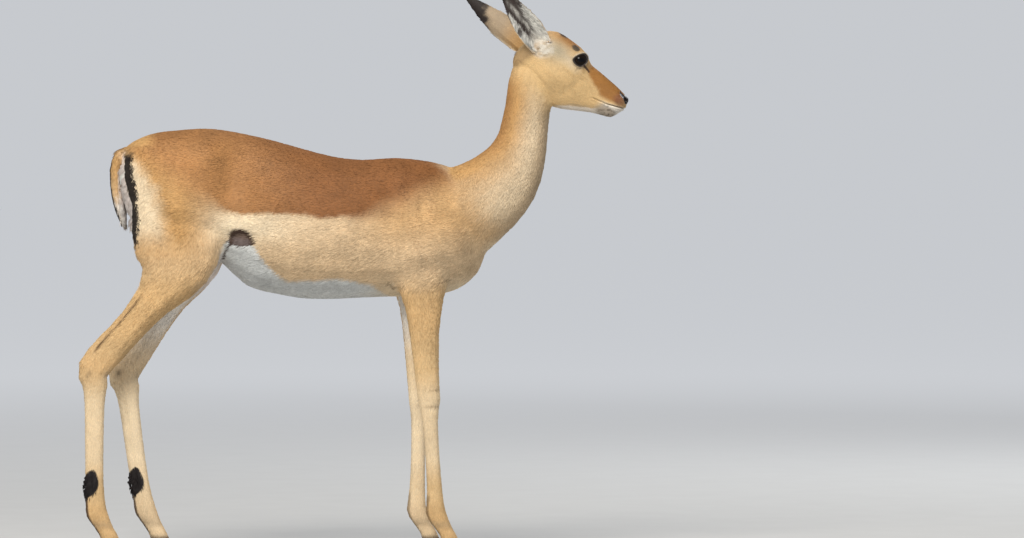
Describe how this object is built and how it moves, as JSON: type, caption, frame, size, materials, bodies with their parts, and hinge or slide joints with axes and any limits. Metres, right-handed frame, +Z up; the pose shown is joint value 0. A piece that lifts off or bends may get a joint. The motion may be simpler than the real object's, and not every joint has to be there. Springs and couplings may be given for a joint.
{
  "type": "impala antelope",
  "caption": "Standing hornless impala ewe in alert side pose, head raised and ears turned back, as a still life-size museum-type model.",
  "frame": {"origin": "on the ground, under the middle of the animal's bounding box", "axes": "+Z up, +X towards the nose, +Y towards the animal's left side"},
  "size_m": [1.1312, 0.2224, 1.1814],
  "materials": {
    "coat": "short sleek fur, red-brown saddle over paler flanks and white belly, black bands and tufts",
    "eye": "wet dark brown eye",
    "hoof": "satin dark horn"
  },
  "bodies": {
    "root": {"head": "coat", "neck": "coat", "trunk": "coat", "tail": "coat", "ear_right": "coat", "ear_left": "coat", "eye_right": "eye", "eye_left": "eye", "fore_leg_right": "coat", "fore_leg_left": "coat", "hind_leg_right": "coat", "hind_leg_left": "coat", "fore_claw_right_outer": "hoof", "fore_claw_right_inner": "hoof", "fore_claw_left_outer": "hoof", "fore_claw_left_inner": "hoof", "hind_claw_right_outer": "hoof", "hind_claw_right_inner": "hoof", "hind_claw_left_outer": "hoof", "hind_claw_left_inner": "hoof"}
  },
  "joints": []
}
